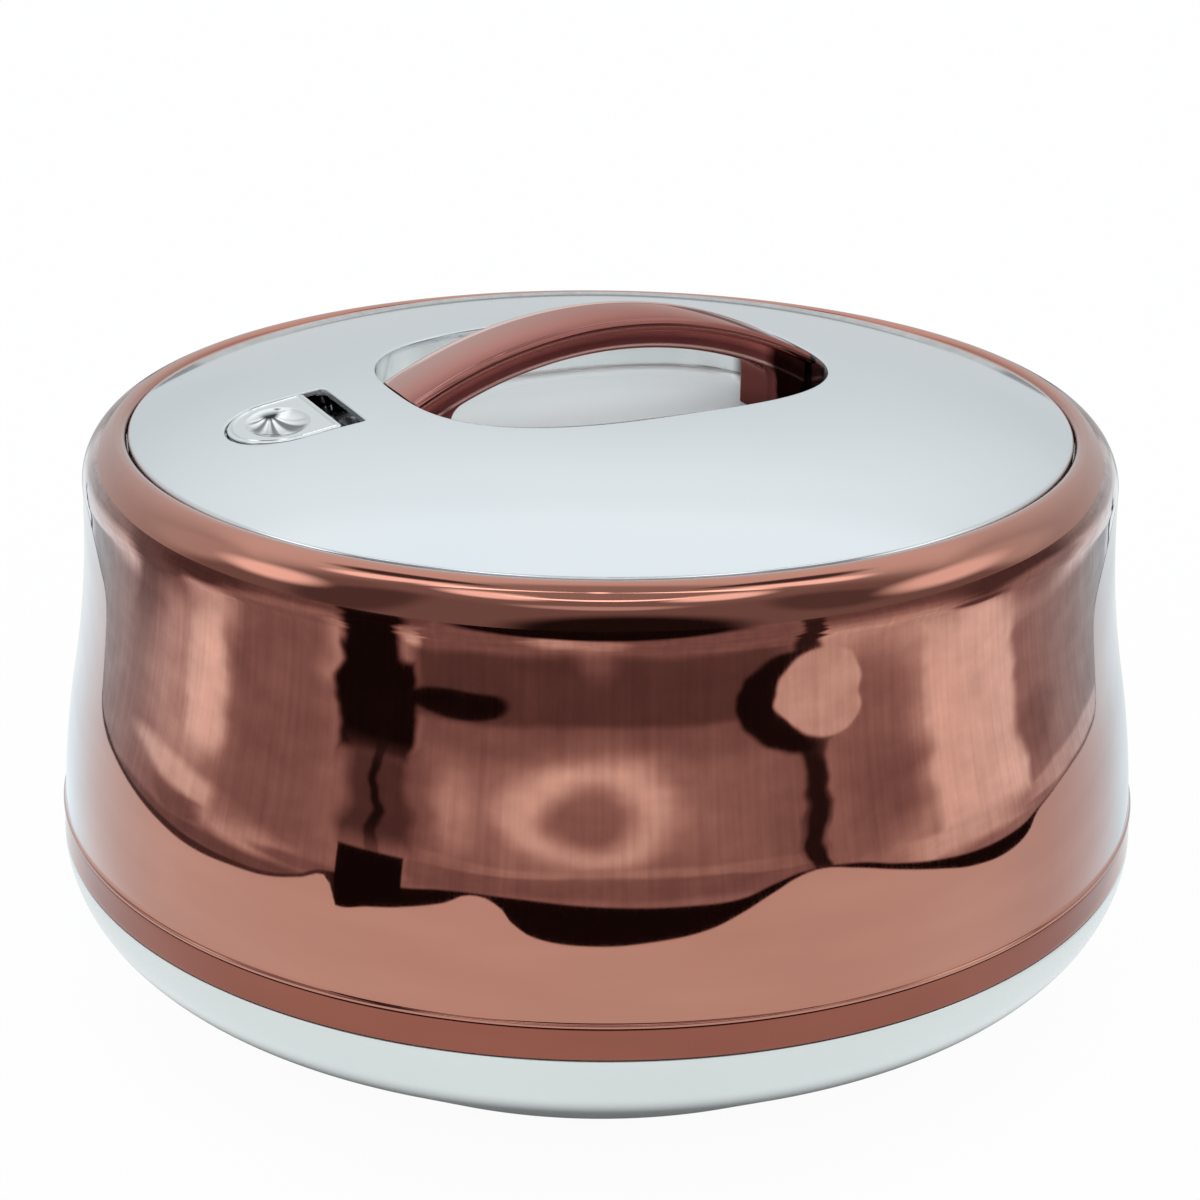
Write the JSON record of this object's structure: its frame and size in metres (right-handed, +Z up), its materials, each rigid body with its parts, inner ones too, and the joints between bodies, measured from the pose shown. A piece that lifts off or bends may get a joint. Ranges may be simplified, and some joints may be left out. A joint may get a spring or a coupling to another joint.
{
  "type": "insulated casserole",
  "caption": "Insulated serving casserole with a rose-gold steel shell, a copper band, a lift-off domed lid, a bridging handle over a sunk well and a sliding steam vent.",
  "frame": {"origin": "centre of the footprint, on the surface the casserole stands on", "axes": "+Z up, +X along the handle, with the sliding vent on the -X side"},
  "size_m": [0.2914, 0.2914, 0.179],
  "materials": {
    "base_shell": "warm light grey, satin with a metallic flake look",
    "base_screws": "plain steel",
    "foot_rubber": "matt dark grey",
    "copper_band": "polished dark copper tone",
    "hidden_moulding": "unpolished grey moulding",
    "rose_shell": "mirror-polished rose-gold steel",
    "inner_steel": "brushed stainless steel, circular lines",
    "white_moulding": "white moulding",
    "foam": "pale yellow cellular foam",
    "lid_chrome": "mirror-bright silver plating",
    "gasket_silicone": "translucent white silicone",
    "handle_rose": "satin rose-gold plating",
    "vent_grey": "silver satin moulding"
  },
  "bodies": {
    "pot": {"base_bowl": "base_shell", "base_cover": "base_shell", "base_screws": "base_screws", "foot_pad_1": "foot_rubber", "foot_pad_2": "foot_rubber", "foot_pad_3": "foot_rubber", "foot_pad_4": "foot_rubber", "copper_band": "copper_band", "joint_ring": "hidden_moulding", "outer_shell": "rose_shell", "inner_pot": "inner_steel", "pot_collar": "white_moulding", "body_foam": "foam"},
    "lid": {"lid_panel": "lid_chrome", "handle_well": "lid_chrome", "lid_frame": "white_moulding", "frame_screws": "base_screws", "lid_gasket": "gasket_silicone", "lid_inner_plate": "inner_steel", "lid_foam": "foam", "handle_cover": "handle_rose", "handle_core": "handle_rose", "handle_screws": "base_screws", "vent_tray": "lid_chrome", "vent_cap": "hidden_moulding", "vent_tube": "gasket_silicone", "vent_grommet": "gasket_silicone"},
    "slider": {"vent_slider": "vent_grey", "vent_pad": "gasket_silicone", "slider_clip": "hidden_moulding", "clip_screw": "base_screws"}
  },
  "joints": [
    {"name": "lid_lift", "type": "slide", "parent": "pot", "child": "lid", "axis": [0, 0, 1], "range_m": [0, 0.2]},
    {"name": "vent_slide", "type": "slide", "parent": "lid", "child": "slider", "axis": [0.987, 0, 0.1605], "range_m": [0, 0.0058]}
  ]
}
